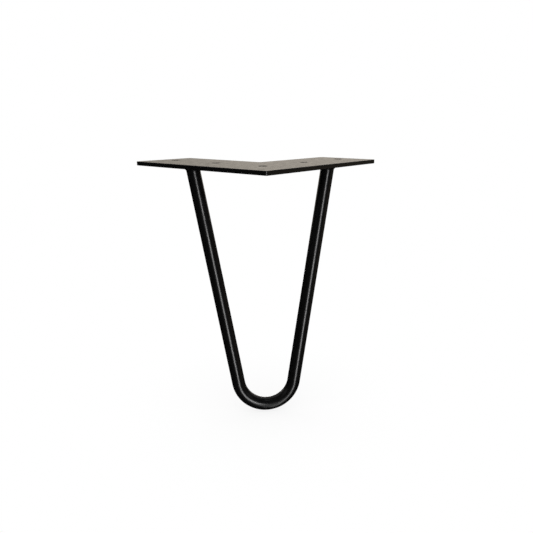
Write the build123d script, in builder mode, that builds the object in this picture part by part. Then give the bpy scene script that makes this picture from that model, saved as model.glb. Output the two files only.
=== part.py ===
import os
from math import asin, atan2, cos, hypot, sin, sqrt, tan

from build123d import *

# Hairpin table leg: an L-shaped plate that screws under a table top, one round bar bent into a
# hairpin, and the two weld beads that join the bar's ends to the plate. Sizes are in millimetres.
# The origin is the centre of the corner hole on the plate's top face. +Z is up, +Y points from the
# plate's outer corner into its notch, and the arms lie 45 degrees to either side of +Y.

# Plate, with its corners and the rounding that deburring and the coat leave along its rims
arm_length = 148.0
arm_width = 59.0
plate_thickness = 3.4
corner_radius = 1.5
rim_rounding = 0.4

# Screw holes down the middle of the arms: one at the corner and more along each arm, evenly spaced
# up to the end hole
hole_diameter = 7.0
hole_edge_distance = 29.5
hole_end_distance = 16.0
holes_along_arm = 2

# Bar: the bend is measured on its centre line, the height from table top to floor,
# and the station along the plate's outer edge from its corner
bar_diameter = 11.0
bend_radius = 24.0
leg_height = 208.0
bar_station = 84.5

# Weld beads, fuller on the side away from the plate's outer edge, with the bare strip between a
# bead and the plate's rounded rim
weld_leg = 1.4
weld_bias = 0.6
weld_lip = 0.35
weld_rim_margin = 1.5

# The plate is drawn along its two outer edges, from the outer corner
plate_plane = Plane(
    origin=(0, -hole_edge_distance * sqrt(2), 0),
    x_dir=(1, 1, 0),
    z_dir=(0, 0, 1),
)
underside = Plane.XY.offset(-plate_thickness)

hole_pitch = (arm_length - hole_end_distance - hole_edge_distance) / holes_along_arm
hole_points = [(hole_edge_distance, hole_edge_distance)]
for step in range(1, holes_along_arm + 1):
    along = hole_edge_distance + step * hole_pitch
    hole_points += [(along, hole_edge_distance), (hole_edge_distance, along)]

# The bar's ends meet the underside just inside the outer edges, mirrored about the YZ plane
bar_radius = bar_diameter / 2
bar_inset = rim_rounding + weld_rim_margin + weld_leg - weld_bias + bar_radius
bar_end = plate_plane.from_local_coords(Vector(bar_station, bar_inset, -plate_thickness))
weld_toe = plate_plane.from_local_coords(Vector(bar_station, bar_inset + weld_bias, -plate_thickness))

# The hairpin lies in a plane that leans to bring the foot straight under the corner hole
foot_drop = leg_height - plate_thickness - bar_radius
lean = atan2(bar_end.Y, foot_drop)
hairpin_plane = Plane(
    origin=(0, bar_end.Y, bar_end.Z),
    x_dir=(1, 0, 0),
    z_dir=(0, -cos(lean), sin(lean)),
)

# Down that plane from the ends: where the bend is lowest, its centre, and where each straight
# run meets it, tangent
bend_bottom = hypot(bar_end.Y, foot_drop)
bend_centre = bend_bottom - bend_radius
splay = atan2(bar_end.X, bend_centre) - asin(bend_radius / hypot(bar_end.X, bend_centre))
tangent_across = bend_radius * cos(splay)
tangent_down = bend_centre + bend_radius * sin(splay)

# The runs are drawn longer than they end up, and trimmed level with the underside
overrun = bar_diameter
start_across = bar_end.X + overrun * tan(splay)

# How far a run drifts inwards and forwards for each millimetre that it drops
drift_across = tan(splay) / cos(lean)
drift_forward = tan(lean)

os.makedirs("parts", exist_ok=True)

# Plate: two arms cut as one from flat sheet
with BuildPart() as top_plate:
    with BuildSketch(plate_plane) as outline:
        Rectangle(arm_length, arm_width, align=Align.MIN)
        Rectangle(arm_width, arm_length, align=Align.MIN)
        fillet(outline.vertices(), radius=corner_radius)
    extrude(amount=-plate_thickness)
    rims = top_plate.edges().filter_by(Axis.Z, reverse=True)
    fillet(rims, radius=rim_rounding)
    with Locations(plate_plane):
        with Locations(hole_points):
            Hole(radius=hole_diameter / 2)

# Hairpin: left run, bend and right run of one bar, its ends sawn flush with the plate
with BuildPart() as hairpin_rod:
    with BuildLine(hairpin_plane) as centre_line:
        Line((-start_across, overrun), (-tangent_across, -tangent_down))
        ThreePointArc((-tangent_across, -tangent_down), (0, -bend_bottom), (tangent_across, -tangent_down))
        Line((tangent_across, -tangent_down), (start_across, overrun))
    with BuildSketch(centre_line.line ^ 0):
        Circle(bar_radius)
    sweep()
    split(bisect_by=underside, keep=Keep.BOTTOM)

top_plate.part.label = "top_plate"
export_step(top_plate.part, "parts/top_plate.step")
hairpin_rod.part.label = "hairpin_rod"
export_step(hairpin_rod.part, "parts/hairpin_rod.step")

# Weld beads: a fillet of weld round each end, tapering from the plate to the bar
for name, side in (("weld_left", -1), ("weld_right", 1)):
    toe = (side * weld_toe.X, weld_toe.Y)
    crown = (side * (bar_end.X - drift_across * weld_leg), bar_end.Y - drift_forward * weld_leg)
    with BuildPart() as weld_bead:
        with BuildSketch(underside):
            with Locations(toe):
                Circle(bar_radius + weld_leg)
        with BuildSketch(underside.offset(-weld_leg)):
            with Locations(crown):
                Circle(bar_radius + weld_lip)
        loft()
        add(hairpin_rod.part, mode=Mode.SUBTRACT)
    weld_bead.part.label = name
    export_step(weld_bead.part, f"parts/{name}.step")
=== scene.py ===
from math import asin, atan2, cos, hypot, pi, radians, sin, sqrt, tan

import bmesh
import bpy
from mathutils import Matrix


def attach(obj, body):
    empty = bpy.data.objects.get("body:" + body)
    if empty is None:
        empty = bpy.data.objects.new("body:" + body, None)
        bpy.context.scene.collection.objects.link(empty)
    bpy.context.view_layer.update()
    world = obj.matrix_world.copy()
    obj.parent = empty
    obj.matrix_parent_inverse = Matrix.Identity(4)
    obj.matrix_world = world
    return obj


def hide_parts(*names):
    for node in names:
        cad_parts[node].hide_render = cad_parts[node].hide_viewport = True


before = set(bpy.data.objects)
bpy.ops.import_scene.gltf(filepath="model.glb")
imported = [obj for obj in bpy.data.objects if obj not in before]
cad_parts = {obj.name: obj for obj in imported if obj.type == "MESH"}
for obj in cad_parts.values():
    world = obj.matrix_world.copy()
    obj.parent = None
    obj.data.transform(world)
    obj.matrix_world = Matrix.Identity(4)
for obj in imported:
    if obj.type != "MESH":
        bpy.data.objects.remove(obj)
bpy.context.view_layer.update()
scene = bpy.context.scene
mm = 0.001  # the sizes below are in millimetres, Blender's are in metres
mergeDistance = 0.002 * mm  # points closer than this become one
white = (1.0, 1.0, 1.0, 1.0)
print("frame loaded:", ", ".join(sorted(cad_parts)))


# sRGB hex colour to Blender's linear one
def linear(hexColour):
    parts = [int(hexColour[i:i + 2], 16) / 255 for i in (1, 3, 5)]
    return [c / 12.92 if c <= 0.04045 else ((c + 0.055) / 1.055) ** 2.4 for c in parts] + [1.0]


# Adds one node: a socket is linked, any other value is set on the node's own input
def addNode(tree, kind, inputs=None, **settings):
    node = tree.nodes.new(kind)
    for name, value in settings.items():
        setattr(node, name, value)
    for key, value in (inputs or {}).items():
        if isinstance(value, bpy.types.NodeSocket):
            tree.links.new(value, node.inputs[key])
        else:
            node.inputs[key].default_value = value
    return node


# An empty Geometry Nodes tree with one named input for each size
def startTree(name, sizes):
    kinds = {int: "NodeSocketInt", float: "NodeSocketFloat", list: "NodeSocketVector"}
    tree = bpy.data.node_groups.new(name, "GeometryNodeTree")
    tree.interface.new_socket("Geometry", in_out="OUTPUT", socket_type="NodeSocketGeometry")
    for label, value in sizes.items():
        tree.interface.new_socket(label, in_out="INPUT", socket_type=kinds[type(value)])
    return tree, tree.nodes.new("NodeGroupInput").outputs


# A line from point to point: each is a vector socket, or a pair of coordinates
def drawLine(tree, points):
    index = addNode(tree, "GeometryNodeInputIndex").outputs[0]
    pick = addNode(tree, "GeometryNodeIndexSwitch", {0: index}, data_type="VECTOR")
    while len(pick.index_switch_items) < len(points):
        pick.index_switch_items.new()
    for slot, point in enumerate(points, 1):
        if isinstance(point, tuple):
            point = addNode(tree, "ShaderNodeCombineXYZ", dict(enumerate(point))).outputs[0]
        tree.links.new(point, pick.inputs[slot])
    dots = addNode(tree, "GeometryNodePoints", {"Count": len(points), "Position": pick.outputs[0]})
    return addNode(tree, "GeometryNodePointsToCurves", {0: dots.outputs[0]}).outputs[0]


# Every tree ends the same way, in Realize Instances and Set Material
def endTree(tree, geometry, material):
    realized = addNode(tree, "GeometryNodeRealizeInstances", {0: geometry})
    coated = addNode(tree, "GeometryNodeSetMaterial", {0: realized.outputs[0], "Material": material})
    addNode(tree, "NodeGroupOutput", {0: coated.outputs[0]})


# Runs a tree once and keeps its result as a plain closed mesh in the place of a CAD node
def growPiece(name, tree, sizes, node):
    piece = bpy.data.objects.new(name, bpy.data.meshes.new(name))
    scene.collection.objects.link(piece)
    modifier = piece.modifiers.new("shape", "NODES")
    modifier.node_group = tree
    for socket in tree.interface.items_tree:
        if socket.in_out == "INPUT":
            modifier[socket.identifier] = sizes[socket.name]
    depsgraph = bpy.context.evaluated_depsgraph_get()
    mesh = bpy.data.meshes.new_from_object(piece.evaluated_get(depsgraph))
    piece.modifiers.remove(modifier)
    shell = bmesh.new()
    shell.from_mesh(mesh)
    bmesh.ops.remove_doubles(shell, verts=shell.verts, dist=mergeDistance)
    bmesh.ops.recalc_face_normals(shell, faces=shell.faces)
    openEdges = sum(not edge.is_manifold for edge in shell.edges)
    volume = shell.calc_volume(signed=True) / mm ** 3
    shell.to_mesh(mesh)
    shell.free()
    mesh.name = name
    piece.data = mesh
    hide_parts(node)
    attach(piece, "root")
    print(f"{name}: {len(mesh.polygons)} faces, {openEdges} open edges, {volume:.0f} cubic mm")


coat = {
    "lightSpot": "#070707",
    "darkSpot": "#030303",
    "spotWidth": 9.0,  # mm, faint drifts in the depth of the black
    "roughnessLow": 0.22,
    "roughnessHigh": 0.28,
    "glossPatch": 5.0,  # mm, patches that flowed out a little smoother
    "glossSpan": (0.3, 0.7),  # of the patches' noise, from the low roughness to the high one
    "peelWidth": 1.8,  # mm, one dimple of the orange peel
    "peelDepth": 0.012,  # mm
    "ior": 1.55,
}


# Satin black powder coat baked on mild steel. The resin gives a clear surface reflection over a black
# that swallows the rest, so the eye sees a narrow soft streak, black beside it, and a pale sheen where
# a face is seen at a slant. The orange peel makes the streak waver very slightly.
def makeCoat():
    material = bpy.data.materials.new("satinBlackPowderCoatOnMildSteel")
    material.use_nodes = True
    tree = material.node_tree
    shader = tree.nodes["Principled BSDF"]
    place = addNode(tree, "ShaderNodeTexCoord").outputs["Object"]

    # three cloudy patterns, each with its width, its levels of detail and how strong the finer ones are
    clouds = []
    for width, detail, grain in (
            (coat["spotWidth"], 3.0, 0.5), (coat["glossPatch"], 2.0, 0.5), (coat["peelWidth"], 1.0, 0.4)):
        noise = addNode(tree, "ShaderNodeTexNoise", {
            "Vector": place, "Scale": 1 / (width * mm), "Detail": detail, "Roughness": grain})
        clouds.append(noise.outputs["Fac"])
    spots, patches, peel = clouds
    black = addNode(tree, "ShaderNodeMix", {
        0: spots, 6: linear(coat["darkSpot"]), 7: linear(coat["lightSpot"])}, data_type="RGBA")
    roughness = addNode(tree, "ShaderNodeMapRange", {
        "Value": patches, "From Min": coat["glossSpan"][0], "From Max": coat["glossSpan"][1],
        "To Min": coat["roughnessLow"], "To Max": coat["roughnessHigh"]})
    dimples = addNode(tree, "ShaderNodeBump", {
        "Height": peel, "Strength": 1.0, "Distance": coat["peelDepth"] * mm})
    tree.links.new(black.outputs[2], shader.inputs["Base Color"])
    tree.links.new(roughness.outputs[0], shader.inputs["Roughness"])
    tree.links.new(dimples.outputs[0], shader.inputs["Normal"])
    shader.inputs["IOR"].default_value = coat["ior"]
    return material


powderCoat = makeCoat()
print("material:", powderCoat.name)

plate = {
    "armLength": 148.0,
    "armWidth": 59.0,
    "thickness": 3.4,
    "cornerRadius": 1.5,
    "cornerSteps": 10,
    "rimRounding": 0.4,
    "rimSteps": 6,
    "holeDiameter": 7.0,
    "holeSteps": 64,
    "holeRimRounding": 0.3,  # punching rolls the edge over
    "holeEdgeDistance": 29.5,
    "holeEndDistance": 16.0,
    "holesAlongArm": 2,
}
diagonal = sqrt(0.5)  # the arms lie at 45 degrees, so this share of a length along one is its X or Y


# L-shaped plate: the outline and each hole get a wall with rounded rims, and the two faces are filled
# between those walls. The corner hole is at the origin, and the arms run 45 degrees either side of +Y.
def makePlate():
    holeRow = plate["armLength"] - plate["holeEndDistance"] - plate["holeEdgeDistance"]
    sizes = {
        "arm length": plate["armLength"] * mm,
        "arm width": plate["armWidth"] * mm,
        "edge distance": plate["holeEdgeDistance"] * mm,
        "thickness": plate["thickness"] * mm,
        "corner radius": plate["cornerRadius"] * mm,
        "rim rounding": plate["rimRounding"] * mm,
        "hole radius": plate["holeDiameter"] / 2 * mm,
        "hole rim rounding": plate["holeRimRounding"] * mm,
        "hole pitch": holeRow / plate["holesAlongArm"] * mm,
        "holes along arm": plate["holesAlongArm"],
    }
    tree, size = startTree("fixingPlateShape", sizes)

    # outline along the arms, from the outer corner, then turned so that the notch faces +Y
    long = size["arm length"]
    wide = size["arm width"]
    corners = ((0.0, 0.0), (long, 0.0), (long, wide), (wide, wide), (wide, long), (0.0, long))
    lShape = drawLine(tree, corners)
    closed = addNode(tree, "GeometryNodeSetSplineCyclic", {0: lShape, "Cyclic": True})
    toHole = addNode(tree, "ShaderNodeMath", {
        0: size["edge distance"], 1: -sqrt(2)}, operation="MULTIPLY")
    shift = addNode(tree, "ShaderNodeCombineXYZ", {1: toHole.outputs[0]})
    turned = addNode(tree, "GeometryNodeTransform", {
        0: closed.outputs[0], "Translation": shift.outputs[0], "Rotation": (0.0, 0.0, pi / 4)})
    outline = addNode(tree, "GeometryNodeFilletCurve", {
        0: turned.outputs[0], "Count": plate["cornerSteps"], "Radius": size["corner radius"]}, mode="POLY")

    # hole centres: one at the corner, then pairs along the arms
    index = addNode(tree, "GeometryNodeInputIndex").outputs[0]
    half = addNode(tree, "ShaderNodeMath", {0: index, 1: 2.0}, operation="DIVIDE")
    step = addNode(tree, "ShaderNodeMath", {0: half.outputs[0]}, operation="CEIL")
    odd = addNode(tree, "ShaderNodeMath", {0: index, 1: 2.0}, operation="MODULO")
    side = addNode(tree, "ShaderNodeMath", {
        0: odd.outputs[0], 1: 2.0, 2: -1.0}, operation="MULTIPLY_ADD")
    along = addNode(tree, "ShaderNodeMath", {
        0: step.outputs[0], 1: size["hole pitch"]}, operation="MULTIPLY")
    ahead = addNode(tree, "ShaderNodeMath", {0: along.outputs[0], 1: diagonal}, operation="MULTIPLY")
    across = addNode(tree, "ShaderNodeMath", {
        0: ahead.outputs[0], 1: side.outputs[0]}, operation="MULTIPLY")
    centre = addNode(tree, "ShaderNodeCombineXYZ", {0: across.outputs[0], 1: ahead.outputs[0]})
    count = addNode(tree, "ShaderNodeMath", {
        0: size["holes along arm"], 1: 2.0, 2: 1.0}, operation="MULTIPLY_ADD")
    centres = addNode(tree, "GeometryNodePoints", {
        "Count": count.outputs[0], "Position": centre.outputs[0]})
    ring = addNode(tree, "GeometryNodeCurvePrimitiveCircle", {
        "Resolution": plate["holeSteps"], "Radius": size["hole radius"]})

    # each wall's section: out from the face, round the rim, down and back in
    deep = size["thickness"]
    walls = []
    for path, rounding, inward in ((outline, "rim rounding", -1.0), (ring, "hole rim rounding", 1.0)):
        inset = addNode(tree, "ShaderNodeMath", {
            0: size[rounding], 1: inward}, operation="MULTIPLY").outputs[0]
        section = drawLine(tree, ((inset, 0.0), (0.0, 0.0), (0.0, deep), (inset, deep)))
        rounded = addNode(tree, "GeometryNodeFilletCurve", {
            0: section, "Count": plate["rimSteps"], "Radius": size[rounding]}, mode="POLY")
        upright = addNode(tree, "GeometryNodeSetCurveNormal", {0: path.outputs[0]}, mode="Z_UP")
        wall = addNode(tree, "GeometryNodeCurveToMesh", {
            0: upright.outputs[0], "Profile Curve": rounded.outputs[0]})
        walls.append(wall.outputs[0])
    edgeWall, holeWall = walls
    drilled = addNode(tree, "GeometryNodeInstanceOnPoints", {
        0: centres.outputs[0], "Instance": holeWall})
    holes = addNode(tree, "GeometryNodeRealizeInstances", {0: drilled.outputs[0]})
    sides = addNode(tree, "GeometryNodeJoinGeometry")
    for wall in (edgeWall, holes.outputs[0]):
        tree.links.new(wall, sides.inputs[0])
    joined = addNode(tree, "GeometryNodeMergeByDistance", {
        0: sides.outputs[0], "Distance": mergeDistance})

    # the top is filled between the walls' upper edges, which have one face beside them
    beside = addNode(tree, "GeometryNodeInputMeshEdgeNeighbors").outputs[0]
    free = addNode(tree, "ShaderNodeMath", {0: beside, 1: 2.0}, operation="LESS_THAN")
    place = addNode(tree, "GeometryNodeInputPosition").outputs[0]
    height = addNode(tree, "ShaderNodeSeparateXYZ", {0: place}).outputs[2]
    middle = addNode(tree, "ShaderNodeMath", {0: deep, 1: -0.5}, operation="MULTIPLY")
    upper = addNode(tree, "ShaderNodeMath", {0: height, 1: middle.outputs[0]}, operation="GREATER_THAN")
    both = addNode(tree, "ShaderNodeMath", {
        0: free.outputs[0], 1: upper.outputs[0]}, operation="MULTIPLY")
    rims = addNode(tree, "GeometryNodeMeshToCurve", {
        0: joined.outputs[0], "Selection": both.outputs[0]})
    top = addNode(tree, "GeometryNodeFillCurve", {0: rims.outputs[0]}, mode="TRIANGLES")

    # a copy of it, turned over, closes the underside
    drop = addNode(tree, "ShaderNodeMath", {0: deep, 1: -1.0}, operation="MULTIPLY")
    down = addNode(tree, "ShaderNodeCombineXYZ", {2: drop.outputs[0]})
    under = addNode(tree, "GeometryNodeTransform", {0: top.outputs[0], "Translation": down.outputs[0]})
    turnedOver = addNode(tree, "GeometryNodeFlipFaces", {0: under.outputs[0]})
    whole = addNode(tree, "GeometryNodeJoinGeometry")
    for part in (joined, top, turnedOver):
        tree.links.new(part.outputs[0], whole.inputs[0])
    sealed = addNode(tree, "GeometryNodeMergeByDistance", {
        0: whole.outputs[0], "Distance": mergeDistance})

    # rims are shaded smooth, the two faces stay flat
    levelFace = 0.9999  # how upright a face's normal has to be
    facing = addNode(tree, "GeometryNodeInputNormal").outputs[0]
    lift = addNode(tree, "ShaderNodeSeparateXYZ", {0: facing}).outputs[2]
    upOrDown = addNode(tree, "ShaderNodeMath", {0: lift}, operation="ABSOLUTE")
    curved = addNode(tree, "ShaderNodeMath", {
        0: upOrDown.outputs[0], 1: levelFace}, operation="LESS_THAN")
    shaded = addNode(tree, "GeometryNodeSetShadeSmooth", {
        0: sealed.outputs[0], "Shade Smooth": curved.outputs[0]})
    endTree(tree, shaded.outputs[0], powderCoat)
    growPiece("fixingPlate", tree, sizes, "top_plate")


makePlate()

bar = {
    "diameter": 11.0,
    "roundSteps": 96,
    "bendRadius": 24.0,  # on the centre line
    "bendSteps": 72,
    "legHeight": 208.0,
    "station": 84.5,  # along the plate's outer edge, from its corner
    "inset": 8.2,  # from the plate's outer edge to the bar's centre
}

# Where the bar's ends meet the underside, and the point below the floor where its two runs would cross
underside = -plate["thickness"]
barEnd = ((bar["station"] - bar["inset"]) * diagonal,
          (bar["station"] + bar["inset"]) * diagonal - plate["holeEdgeDistance"] * sqrt(2), underside)
footDrop = bar["legHeight"] - plate["thickness"] - bar["diameter"] / 2
lean = atan2(barEnd[1], footDrop)
bendCentre = hypot(barEnd[1], footDrop) - bar["bendRadius"]
splay = atan2(barEnd[0], bendCentre) - asin(bar["bendRadius"] / hypot(barEnd[0], bendCentre))
crossing = barEnd[0] / tan(splay)
tip = (0.0, barEnd[1] - crossing * sin(lean), underside - crossing * cos(lean))


# Hairpin: a V of two straight runs whose point is rounded to the bend, with a round section drawn along
# it. The end rings are then slid along the bar until they lie flat on the plate's underside.
def makeBar():
    sizes = {
        "left end": [c * mm for c in (-barEnd[0], barEnd[1], barEnd[2])],
        "tip": [c * mm for c in tip],
        "right end": [c * mm for c in barEnd],
        "bend radius": bar["bendRadius"] * mm,
        "bar radius": bar["diameter"] / 2 * mm,
        "underside": underside * mm,
    }
    tree, size = startTree("hairpinBarShape", sizes)
    runs = drawLine(tree, (size["left end"], size["tip"], size["right end"]))
    hairpin = addNode(tree, "GeometryNodeFilletCurve", {
        0: runs, "Count": bar["bendSteps"], "Radius": size["bend radius"]}, mode="POLY")
    along = addNode(tree, "GeometryNodeSplineParameter").outputs["Factor"]
    heading = addNode(tree, "GeometryNodeInputTangent").outputs[0]
    marked = addNode(tree, "GeometryNodeCaptureAttribute", {0: hairpin.outputs[0]})
    for kind, label, source in (("FLOAT", "along", along), ("VECTOR", "heading", heading)):
        marked.capture_items.new(kind, label)
        tree.links.new(source, marked.inputs[label])
    section = addNode(tree, "GeometryNodeCurvePrimitiveCircle", {
        "Resolution": bar["roundSteps"], "Radius": size["bar radius"]})
    tube = addNode(tree, "GeometryNodeCurveToMesh", {
        0: marked.outputs[0], "Profile Curve": section.outputs[0], "Fill Caps": True})

    # how far each end ring is from the underside, measured along the bar
    nearEnd = 0.49999  # share of the bar's length from its middle, just short of an end
    fromMiddle = addNode(tree, "ShaderNodeMath", {
        0: marked.outputs["along"], 1: 0.5}, operation="SUBTRACT")
    distance = addNode(tree, "ShaderNodeMath", {0: fromMiddle.outputs[0]}, operation="ABSOLUTE")
    isEnd = addNode(tree, "ShaderNodeMath", {
        0: distance.outputs[0], 1: nearEnd}, operation="GREATER_THAN")
    place = addNode(tree, "GeometryNodeInputPosition").outputs[0]
    height = addNode(tree, "ShaderNodeSeparateXYZ", {0: place}).outputs[2]
    gap = addNode(tree, "ShaderNodeMath", {0: size["underside"], 1: height}, operation="SUBTRACT")
    rise = addNode(tree, "ShaderNodeSeparateXYZ", {0: marked.outputs["heading"]}).outputs[2]
    slide = addNode(tree, "ShaderNodeMath", {0: gap.outputs[0], 1: rise}, operation="DIVIDE")
    offset = addNode(tree, "ShaderNodeVectorMath", {
        0: marked.outputs["heading"], "Scale": slide.outputs[0]}, operation="SCALE")
    flush = addNode(tree, "GeometryNodeSetPosition", {
        0: tube.outputs[0], "Selection": isEnd.outputs[0], "Offset": offset.outputs[0]})

    # the two sawn ends stay flat, all the rest is shaded smooth
    atPlate = 0.1 * mm  # a face this near to the underside is a sawn end
    curved = addNode(tree, "ShaderNodeMath", {0: gap.outputs[0], 1: atPlate}, operation="GREATER_THAN")
    shaded = addNode(tree, "GeometryNodeSetShadeSmooth", {
        0: flush.outputs[0], "Shade Smooth": curved.outputs[0]})
    endTree(tree, shaded.outputs[0], powderCoat)
    growPiece("hairpinBar", tree, sizes, "hairpin_rod")


makeBar()

weld = {
    "leg": 1.4,  # how far the bead reaches along the plate and down the bar
    "bias": 0.6,  # fuller on the side away from the plate's outer edge
    "root": 0.4,  # how far its hidden back reaches into the bar and the plate
    "fullness": 1.25,  # 1 is a flat face, 2 a quarter round
    "rippleCount": 30,
    "rippleDepth": 0.13,
    "rippleBow": 0.55,  # how far a ripple's middle runs ahead of its ends, in ripples
    "wander": 0.12,  # uneven travel of the torch
    "wanderScale": 1.6,  # of its noise, on a ring one unit in radius
    "seed": 7,
    "ringSteps": 324,
    "sectionSteps": 28,
}


# Fillet weld: a bead run once round the bar's end in small steps. Each step freezes as a curved ripple,
# which the coat softens. The bead's hidden back lies just inside the bar and the plate.
def makeWeld(name, side, node):
    sizes = {
        "toe centre": [side * barEnd[0] * mm, barEnd[1] * mm, underside * mm],
        "drift": [side * -tan(splay) / cos(lean), -tan(lean), -1.0],  # along the bar, for each unit down
        "bar radius": bar["diameter"] / 2 * mm,
        "leg": weld["leg"] * mm,
        "bias": [-side * weld["bias"] * diagonal * mm, weld["bias"] * diagonal * mm, 0.0],
        "root": weld["root"] * mm,
        "fullness": weld["fullness"],
        "ripple count": weld["rippleCount"],
        "ripple depth": weld["rippleDepth"] * mm,
        "ripple bow": weld["rippleBow"],
        "wander": weld["wander"] * mm,
        "seed": weld["seed"] + (side > 0),
    }
    tree, size = startTree("weldBeadShape", sizes)

    # a plain ring, whose points are then moved onto the bead by their place along it and round its section
    factor = addNode(tree, "GeometryNodeSplineParameter").outputs["Factor"]
    circles = []
    for steps, radius in ((weld["ringSteps"], size["bar radius"]), (weld["sectionSteps"], size["leg"])):
        circle = addNode(tree, "GeometryNodeCurvePrimitiveCircle", {
            "Resolution": steps, "Radius": radius})
        marked = addNode(tree, "GeometryNodeCaptureAttribute", {0: circle.outputs[0]})
        marked.capture_items.new("FLOAT", "share")
        tree.links.new(factor, marked.inputs["share"])
        circles.append(marked.outputs)
    path, section = circles
    ring = addNode(tree, "GeometryNodeCurveToMesh", {0: path[0], "Profile Curve": section[0]})
    turn = addNode(tree, "ShaderNodeMath", {0: path["share"], 1: 2 * pi}, operation="MULTIPLY")
    swing = addNode(tree, "ShaderNodeMath", {0: section["share"], 1: 2 * pi}, operation="MULTIPLY")
    outX = addNode(tree, "ShaderNodeMath", {0: turn.outputs[0]}, operation="COSINE")
    outY = addNode(tree, "ShaderNodeMath", {0: turn.outputs[0]}, operation="SINE")
    outward = addNode(tree, "ShaderNodeCombineXYZ", {0: outX.outputs[0], 1: outY.outputs[0]}).outputs[0]
    offPlate = addNode(tree, "ShaderNodeMath", {0: swing.outputs[0]}, operation="SINE").outputs[0]
    offBar = addNode(tree, "ShaderNodeMath", {0: swing.outputs[0]}, operation="COSINE").outputs[0]

    # ripples: rounded steps that bow forward at the middle of the bead, none on its hidden back.
    # The middle comes to a half at most, so the bow is taken twice.
    visible = addNode(tree, "ShaderNodeMath", {0: offPlate, 1: offBar}, operation="MULTIPLY")
    outer = addNode(tree, "ShaderNodeMath", {0: visible.outputs[0], 1: 0.0}, operation="MAXIMUM")
    inFront = addNode(tree, "ShaderNodeMath", {0: offBar, 1: 0.0}, operation="GREATER_THAN")
    middle = addNode(tree, "ShaderNodeMath", {
        0: outer.outputs[0], 1: inFront.outputs[0]}, operation="MULTIPLY")
    stepsRun = addNode(tree, "ShaderNodeMath", {
        0: path["share"], 1: size["ripple count"]}, operation="MULTIPLY")
    bow = addNode(tree, "ShaderNodeMath", {
        0: middle.outputs[0], 1: size["ripple bow"]}, operation="MULTIPLY")
    bowed = addNode(tree, "ShaderNodeMath", {
        0: bow.outputs[0], 1: 2.0, 2: stepsRun.outputs[0]}, operation="MULTIPLY_ADD")
    phase = addNode(tree, "ShaderNodeMath", {0: bowed.outputs[0], 1: pi}, operation="MULTIPLY")
    wave = addNode(tree, "ShaderNodeMath", {0: phase.outputs[0]}, operation="SINE")
    scallop = addNode(tree, "ShaderNodeMath", {0: wave.outputs[0]}, operation="ABSOLUTE")
    ripple = addNode(tree, "ShaderNodeMath", {
        0: scallop.outputs[0], 1: size["ripple depth"]}, operation="MULTIPLY")

    # the torch's uneven travel, on top of the ripples
    uneven = addNode(tree, "ShaderNodeTexNoise", {
        "Vector": outward, "W": size["seed"], "Scale": weld["wanderScale"], "Detail": 2.0},
        noise_dimensions="4D")
    centred = addNode(tree, "ShaderNodeMath", {0: uneven.outputs["Fac"], 1: 0.5}, operation="SUBTRACT")
    strayed = addNode(tree, "ShaderNodeMath", {
        0: centred.outputs[0], 1: size["wander"], 2: ripple.outputs[0]}, operation="MULTIPLY_ADD")
    trimmed = addNode(tree, "ShaderNodeMath", {
        0: size["leg"], 1: size["ripple depth"]}, operation="SUBTRACT")
    reach = addNode(tree, "ShaderNodeMath", {
        0: trimmed.outputs[0], 1: strayed.outputs[0]}, operation="ADD")

    # the section: a full reach on the two open sides, a shallow root behind them. The power bulges its
    # face from flat to round.
    fuller = addNode(tree, "ShaderNodeVectorMath", {
        0: outward, 1: size["bias"]}, operation="DOT_PRODUCT")
    spread = addNode(tree, "ShaderNodeMath", {
        0: reach.outputs[0], 1: fuller.outputs["Value"]}, operation="ADD")
    power = addNode(tree, "ShaderNodeMath", {0: 2.0, 1: size["fullness"]}, operation="DIVIDE")
    behind = addNode(tree, "ShaderNodeMath", {0: size["root"], 1: -1.0}, operation="MULTIPLY")
    amounts = []
    for share, longest in ((offBar, spread), (offPlate, reach)):
        plain = addNode(tree, "ShaderNodeMath", {0: share}, operation="ABSOLUTE")
        shaped = addNode(tree, "ShaderNodeMath", {
            0: plain.outputs[0], 1: power.outputs[0]}, operation="POWER")
        isOpen = addNode(tree, "ShaderNodeMath", {0: share, 1: 0.0}, operation="GREATER_THAN")
        limit = addNode(tree, "ShaderNodeMix", {
            0: isOpen.outputs[0], 2: behind.outputs[0], 3: longest.outputs[0]})
        amount = addNode(tree, "ShaderNodeMath", {
            0: shaped.outputs[0], 1: limit.outputs[0]}, operation="MULTIPLY")
        amounts.append(amount.outputs[0])
    alongPlate, downBar = amounts
    away = addNode(tree, "ShaderNodeMath", {0: size["bar radius"], 1: alongPlate}, operation="ADD")
    spoke = addNode(tree, "ShaderNodeVectorMath", {
        0: outward, "Scale": away.outputs[0]}, operation="SCALE")
    dropped = addNode(tree, "ShaderNodeVectorMath", {
        0: size["drift"], "Scale": downBar}, operation="SCALE")
    atToe = addNode(tree, "ShaderNodeVectorMath", {
        0: size["toe centre"], 1: spoke.outputs[0]}, operation="ADD")
    spot = addNode(tree, "ShaderNodeVectorMath", {
        0: atToe.outputs[0], 1: dropped.outputs[0]}, operation="ADD")
    bead = addNode(tree, "GeometryNodeSetPosition", {0: ring.outputs[0], "Position": spot.outputs[0]})
    shaded = addNode(tree, "GeometryNodeSetShadeSmooth", {0: bead.outputs[0], "Shade Smooth": True})
    endTree(tree, shaded.outputs[0], powderCoat)
    growPiece(name, tree, sizes, node)


makeWeld("weldBeadLeft", -1, "weld_left")
makeWeld("weldBeadRight", 1, "weld_right")

floorBoard = {
    "level": -bar["legHeight"],
    "width": 8000.0,
    "colour": "#fbfbfb",
    "shadowShare": 0.16,  # how much of the floor's own light and shade shows near the foot
    "shadowFade": (20.0, 160.0),  # from the foot, where that share begins to fade and where it ends
}


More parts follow.
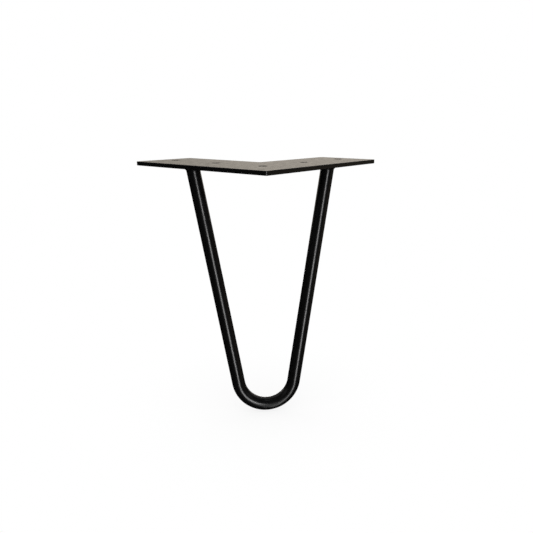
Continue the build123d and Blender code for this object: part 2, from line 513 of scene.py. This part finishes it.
# Plain white floor. The camera sees it as white with the leg's soft shadow near the foot. It is left out
# of the coat's reflections, because its white would grey the lower bar, and it is clear from below.
def makeFloor():
    half = floorBoard["width"] / 2 * mm
    level = floorBoard["level"] * mm
    corners = [(x, y, level) for x, y in ((-half, -half), (half, -half), (half, half), (-half, half))]
    mesh = bpy.data.meshes.new("studioFloor")
    mesh.from_pydata(corners, [], [(0, 1, 2, 3)])
    floor = bpy.data.objects.new("studioFloor", mesh)
    scene.collection.objects.link(floor)
    floor.visible_glossy = False
    floor.visible_shadow = False
    material = bpy.data.materials.new("mattWhitePaintOnBoard")
    material.use_nodes = True
    tree = material.node_tree
    tree.nodes.remove(tree.nodes["Principled BSDF"])
    ray = addNode(tree, "ShaderNodeLightPath").outputs
    place = addNode(tree, "ShaderNodeTexCoord").outputs["Object"]
    flat = addNode(tree, "ShaderNodeVectorMath", {0: place, 1: (1.0, 1.0, 0.0)}, operation="MULTIPLY")
    far = addNode(tree, "ShaderNodeVectorMath", {0: flat.outputs[0]}, operation="LENGTH")
    fadeStart, fadeEnd = [c * mm for c in floorBoard["shadowFade"]]
    share = addNode(tree, "ShaderNodeMapRange", {
        "Value": far.outputs["Value"], "From Min": fadeStart, "From Max": fadeEnd,
        "To Min": 1 - floorBoard["shadowShare"], "To Max": 1.0}, interpolation_type="SMOOTHSTEP")
    seen = addNode(tree, "ShaderNodeMath", {
        0: ray["Is Camera Ray"], 1: ray["Is Transmission Ray"]}, operation="MAXIMUM")
    glow = addNode(tree, "ShaderNodeMath", {
        0: seen.outputs[0], 1: share.outputs[0]}, operation="MULTIPLY")
    matt = addNode(tree, "ShaderNodeBsdfDiffuse", {"Color": linear(floorBoard["colour"])})
    bright = addNode(tree, "ShaderNodeEmission", {"Color": white, "Strength": 1.0})
    above = addNode(tree, "ShaderNodeMixShader", {
        0: glow.outputs[0], 1: matt.outputs[0], 2: bright.outputs[0]})
    clear = addNode(tree, "ShaderNodeBsdfTransparent")
    back = addNode(tree, "ShaderNodeNewGeometry").outputs["Backfacing"]
    both = addNode(tree, "ShaderNodeMixShader", {0: back, 1: above.outputs[0], 2: clear.outputs[0]})
    tree.links.new(both.outputs[0], tree.nodes["Material Output"].inputs["Surface"])
    mesh.materials.append(material)


room = {
    "ambient": 1.0,  # the even light that matt surfaces get
    "unlit": "#1a1a1a",
    "ceiling": "#404040",
    "rightWall": "#6b6258",
    "sidePanels": "#808080",  # pale, high up on both sides
    "skyGlow": "#9c9c9c",  # soft light from high up behind, which shows on the plate in views from above
    "backWallLeft": "#c3bcaf",  # the lit wall behind the leg
    "backWallRight": "#f4eadc",
    "backWallChange": (-0.35, 0.05),  # to the right, from the left colour to the right one
}

# Where each part of the room is seen. It lies over the parts before it, and fades in from one share of the
# view's direction to the next: to the right, to either side, to the back or up.
roomSpans = {
    "ceiling": (("up", 0.25, 0.5),),
    "rightWall": (("right", 0.8, 1.0), ("up", 0.2, -0.1)),
    "sidePanels": (("side", 0.45, 0.75), ("up", 0.17, 0.34), ("up", 0.58, 0.42)),
    "skyGlow": (("up", 0.4, 0.6), ("back", 0.05, 0.45)),
    "backWall": (("back", 0.55, 0.85), ("up", -0.12, 0.0), ("up", 0.34, 0.16)),
}


# White room: the camera sees plain white, matt surfaces get an even light, and the coat mirrors an unlit
# room with a lit wall behind the leg, a grey one on the right and soft light from high up
def makeRoom():
    world = bpy.data.worlds.new("studioRoom")
    world.use_nodes = True
    world.cycles.sampling_method = "NONE"  # so that each ray meets the room its own kind should see
    scene.world = world
    tree = world.node_tree
    ray = addNode(tree, "ShaderNodeLightPath").outputs
    toward = addNode(tree, "ShaderNodeTexCoord").outputs["Generated"]
    axes = addNode(tree, "ShaderNodeSeparateXYZ", {0: toward}).outputs
    side = addNode(tree, "ShaderNodeMath", {0: axes[0]}, operation="ABSOLUTE").outputs[0]
    shares = {"right": axes[0], "back": axes[1], "up": axes[2], "side": side}

    changeStart, changeEnd = room["backWallChange"]
    alongBack = addNode(tree, "ShaderNodeMapRange", {
        "Value": shares["right"], "From Min": changeStart, "From Max": changeEnd})
    backWall = addNode(tree, "ShaderNodeMix", {
        0: alongBack.outputs[0], 6: linear(room["backWallLeft"]), 7: linear(room["backWallRight"])},
        data_type="RGBA")
    mirrored = linear(room["unlit"])
    for part, spans in roomSpans.items():
        amount = 1.0
        for share, start, end in spans:
            amount = addNode(tree, "ShaderNodeMapRange", {
                "Value": shares[share], "From Min": start, "From Max": end, "To Max": amount},
                interpolation_type="SMOOTHSTEP").outputs[0]
        colour = backWall.outputs[2] if part == "backWall" else linear(room[part])
        mirrored = addNode(tree, "ShaderNodeMix", {
            0: amount, 6: mirrored, 7: colour}, data_type="RGBA").outputs[2]

    even = [room["ambient"]] * 3 + [1.0]
    lit = addNode(tree, "ShaderNodeMix", {
        0: ray["Is Glossy Ray"], 6: even, 7: mirrored}, data_type="RGBA")
    seen = addNode(tree, "ShaderNodeMath", {
        0: ray["Is Camera Ray"], 1: ray["Is Transmission Ray"]}, operation="MAXIMUM")
    shown = addNode(tree, "ShaderNodeMix", {
        0: seen.outputs[0], 6: lit.outputs[2], 7: white}, data_type="RGBA")
    tree.links.new(shown.outputs[2], tree.nodes["Background"].inputs["Color"])


lamps = {
    "boxDistance": 5000.0,
    "boxWidth": 900.0,
    "boxPower": 28.0,  # watts from each square metre of the brightest
    # degrees from the front round to the right, top and foot in degrees above level, share of the power
    "tallSoftbox": (14.5, 12.5, -22.0, 1.0),  # draws the streak on the bar
    "softboxImage": (14.5, -22.0, -52.0, 0.3),  # the first one's image in a shiny floor, for the bend
    "backSoftbox": (180.0, -15.5, -41.0, 0.5),  # straight behind, for the bar's back
    "overheadHeight": 2000.0,
    "overheadWidth": 700.0,
    "overheadPower": 3.2,  # watts, its image falls on the plate's top in views from above
}


# One area lamp, which the camera doesn't see but the coat does
def addSoftbox(name, place, angles, width, height, power):
    light = bpy.data.lights.new(name, "AREA")
    light.shape = "RECTANGLE"
    light.size = width * mm
    light.size_y = height * mm
    light.energy = power
    lamp = bpy.data.objects.new(name, light)
    lamp.location = [c * mm for c in place]
    lamp.rotation_euler = angles
    lamp.visible_camera = False
    scene.collection.objects.link(lamp)


# Tall softboxes stand upright round the leg and face it, and a square one hangs over it
def makeLamps():
    away = lamps["boxDistance"]
    wide = lamps["boxWidth"]
    for name in ("tallSoftbox", "softboxImage", "backSoftbox"):
        bearing, top, foot, share = lamps[name]
        turn = radians(bearing)
        upper = away * tan(radians(top))
        lower = away * tan(radians(foot))
        place = (sin(turn) * away, -cos(turn) * away, (upper + lower) / 2)
        power = lamps["boxPower"] * share * wide * (upper - lower) * mm * mm
        addSoftbox(name, place, (pi / 2, 0, turn), wide, upper - lower, power)
    square = lamps["overheadWidth"]
    overhead = (0, 0, lamps["overheadHeight"])
    addSoftbox("overheadSoftbox", overhead, (0, 0, 0), square, square, lamps["overheadPower"])


makeFloor()
makeRoom()
makeLamps()
print("floor, room and lamps ready")

shot = {
    "place": (-21.0, -376.51, 29.53),
    "heading": 6.68,  # degrees to the right of +Y
    "tilt": 16.07,  # degrees below level
    "frame": 533,  # pixels across the picture
    "focal": 490.0,  # pixels
    "centre": 293.24,  # pixel column of the lens axis
    "sensor": 36.0,
    "near": 10.0,  # nothing nearer than this is drawn, or further than the next
    "far": 50000.0,
}


# The camera stands where the photo was taken from, with the lens moved sideways as its framing needs
def makeCamera():
    camera = bpy.data.cameras.new("shot")
    camera.sensor_width = shot["sensor"]
    camera.lens = shot["focal"] / shot["frame"] * shot["sensor"]
    camera.shift_x = (shot["frame"] / 2 - shot["centre"]) / shot["frame"]
    camera.clip_start = shot["near"] * mm
    camera.clip_end = shot["far"] * mm
    stand = bpy.data.objects.new("shot", camera)
    stand.location = [c * mm for c in shot["place"]]
    stand.rotation_euler = (radians(90 - shot["tilt"]), 0, radians(-shot["heading"]))
    scene.collection.objects.link(stand)
    scene.camera = stand


makeCamera()
scene.view_settings.view_transform = "Standard"
print("camera ready")
